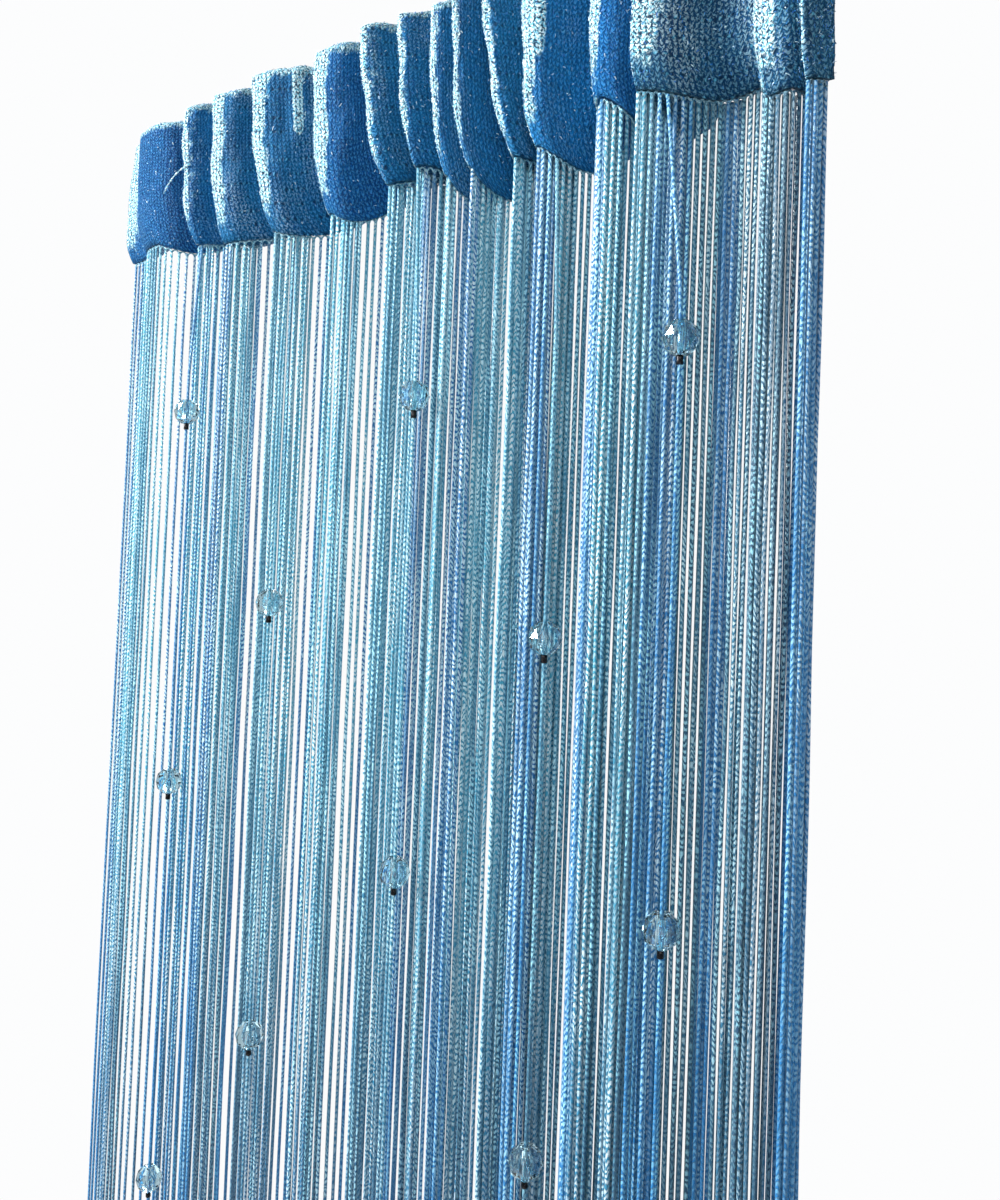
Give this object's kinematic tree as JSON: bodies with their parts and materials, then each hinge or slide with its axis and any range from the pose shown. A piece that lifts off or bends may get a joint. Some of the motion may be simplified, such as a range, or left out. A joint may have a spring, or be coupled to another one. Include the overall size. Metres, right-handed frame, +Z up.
{
  "type": "beaded string curtain",
  "caption": "Sheer string curtain: gathered knitted rod-pocket heading with long hanging strings and faceted glass beads.",
  "frame": {"origin": "middle of the heading's top edge, over the middle of the rod pocket", "axes": "+Z up, +X along the rod to the right as seen from the front, front towards -Y"},
  "size_m": [0.504, 0.0753, 2.0008],
  "materials": {
    "heading_knit": "satin blue knitted yarn with rows of small open stitches",
    "string_cord": "shiny pale blue chain-stitched cord",
    "bead_glass": "clear pale blue cut glass"
  },
  "bodies": {
    "root": {"heading": "heading_knit", "strings": "string_cord", "bead_01": "bead_glass", "bead_02": "bead_glass", "bead_03": "bead_glass", "bead_04": "bead_glass", "bead_05": "bead_glass", "bead_06": "bead_glass", "bead_07": "bead_glass", "bead_08": "bead_glass", "bead_09": "bead_glass", "bead_10": "bead_glass", "bead_11": "bead_glass", "bead_12": "bead_glass", "bead_13": "bead_glass", "bead_14": "bead_glass", "bead_15": "bead_glass", "bead_16": "bead_glass", "bead_17": "bead_glass", "bead_18": "bead_glass", "bead_19": "bead_glass", "bead_20": "bead_glass", "bead_21": "bead_glass", "bead_22": "bead_glass", "bead_23": "bead_glass", "bead_24": "bead_glass", "bead_25": "bead_glass", "bead_26": "bead_glass", "bead_27": "bead_glass", "bead_28": "bead_glass", "bead_29": "bead_glass", "bead_30": "bead_glass", "bead_31": "bead_glass", "bead_32": "bead_glass", "bead_33": "bead_glass", "bead_34": "bead_glass", "bead_35": "bead_glass", "bead_36": "bead_glass", "bead_37": "bead_glass", "bead_38": "bead_glass", "bead_39": "bead_glass", "bead_40": "bead_glass", "bead_41": "bead_glass", "bead_42": "bead_glass", "bead_43": "bead_glass"}
  },
  "joints": []
}
